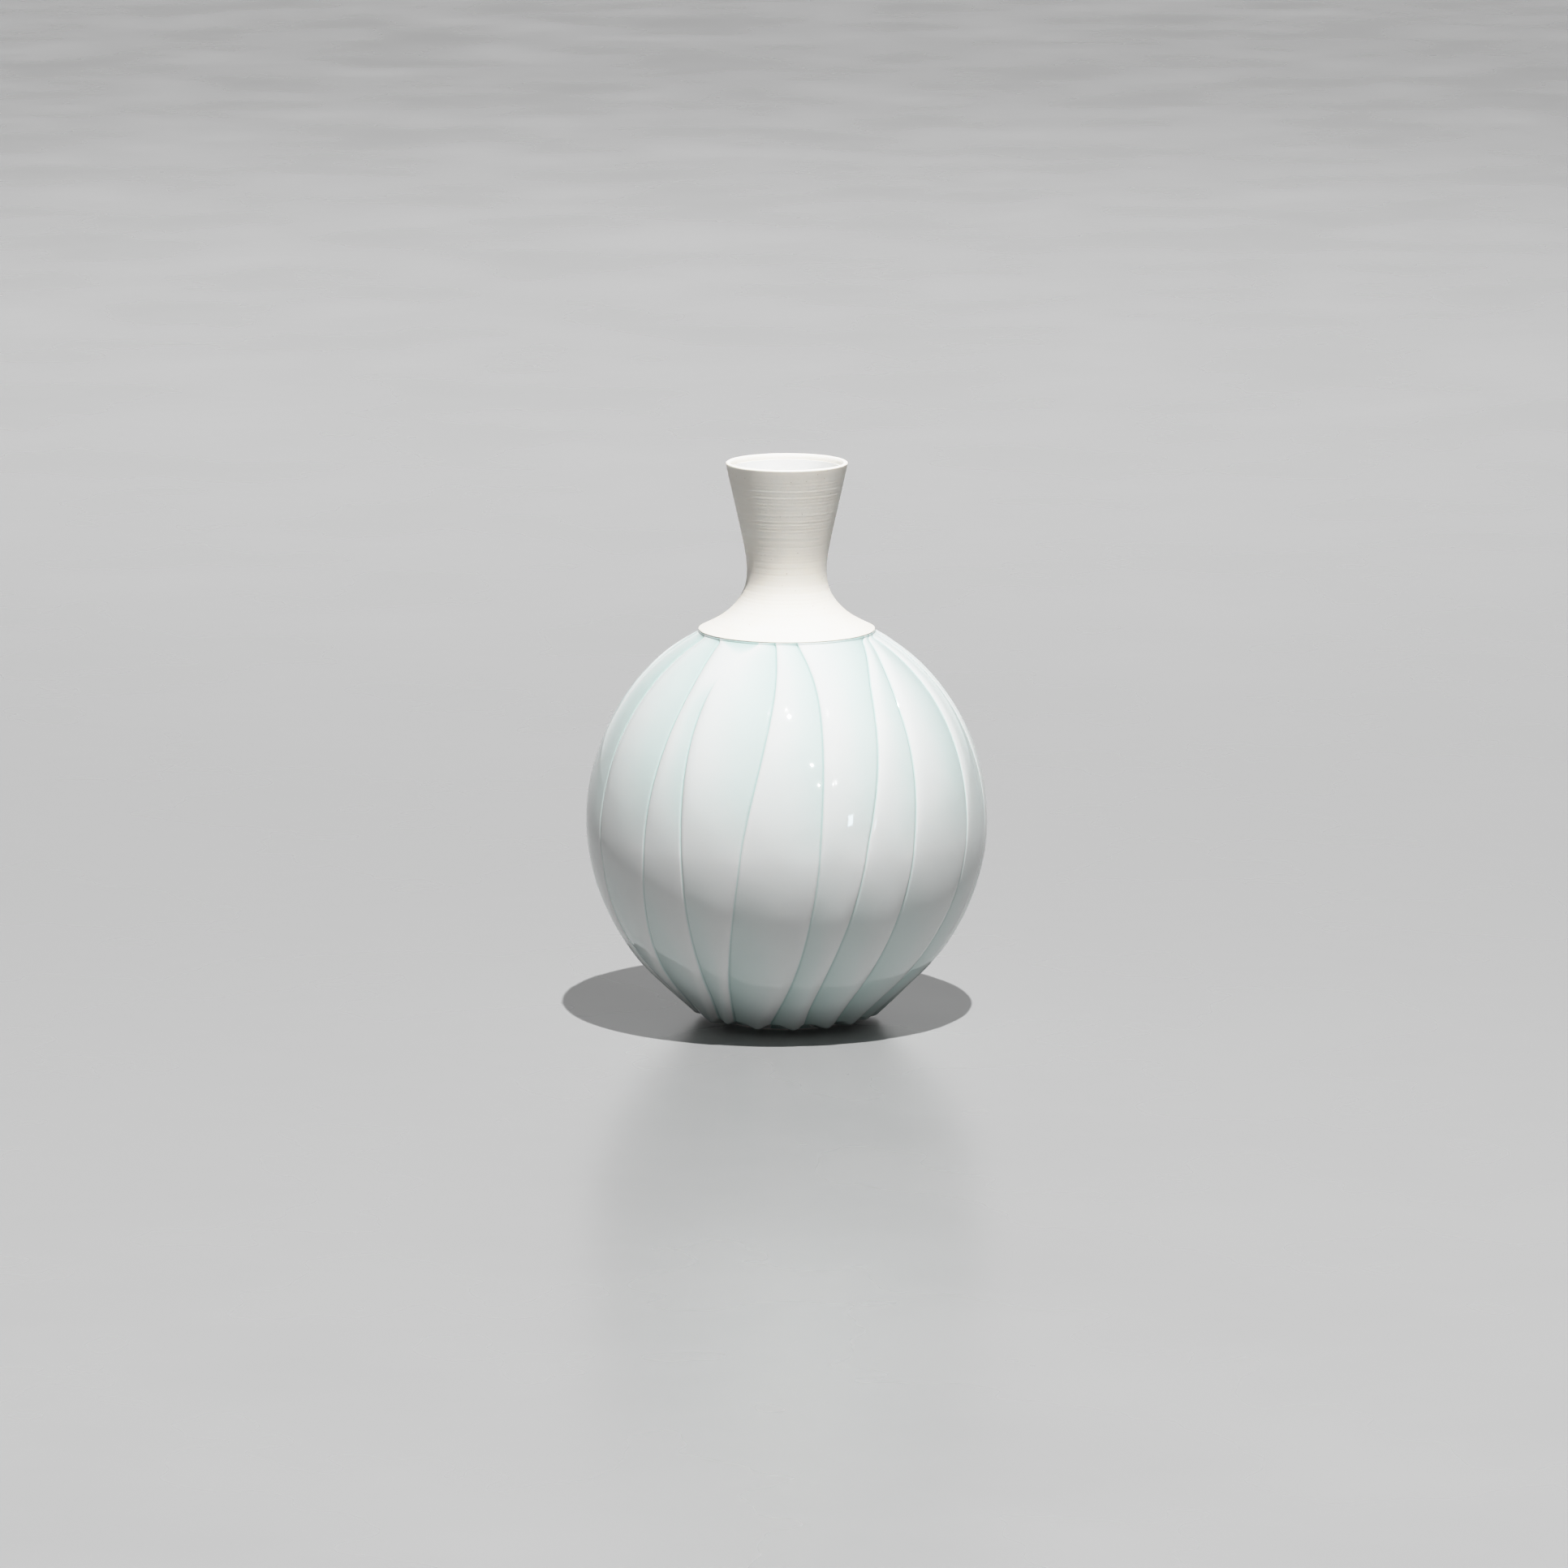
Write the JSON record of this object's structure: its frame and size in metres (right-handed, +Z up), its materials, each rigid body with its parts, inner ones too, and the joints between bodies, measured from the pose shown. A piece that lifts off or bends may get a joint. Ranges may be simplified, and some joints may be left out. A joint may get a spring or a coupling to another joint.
{
  "type": "porcelain vase",
  "caption": "Globe-shaped porcelain vase with slanting carved ribs under a pale blue glaze, a bare white collar and neck, and a narrow flared mouth.",
  "frame": {"origin": "centre of the foot ring, on the ground plane", "axes": "+Z up through the mouth, front towards -Y, +X to the right seen from the front"},
  "size_m": [0.1318, 0.1318, 0.1852],
  "materials": {
    "porcelain_body": "bare fired porcelain, matte",
    "bare_porcelain": "bare fired porcelain with fine turning lines, matte",
    "slip": "fired slip, matte",
    "blue_glaze": "glossy translucent pale blue glaze, deeper in the cut lines",
    "clear_glaze": "glossy clear glaze"
  },
  "bodies": {
    "root": {"carved_globe": "porcelain_body", "neck_and_shoulder": "bare_porcelain", "slip_seam": "slip", "outer_glaze": "blue_glaze", "liner_glaze": "clear_glaze"}
  },
  "joints": []
}
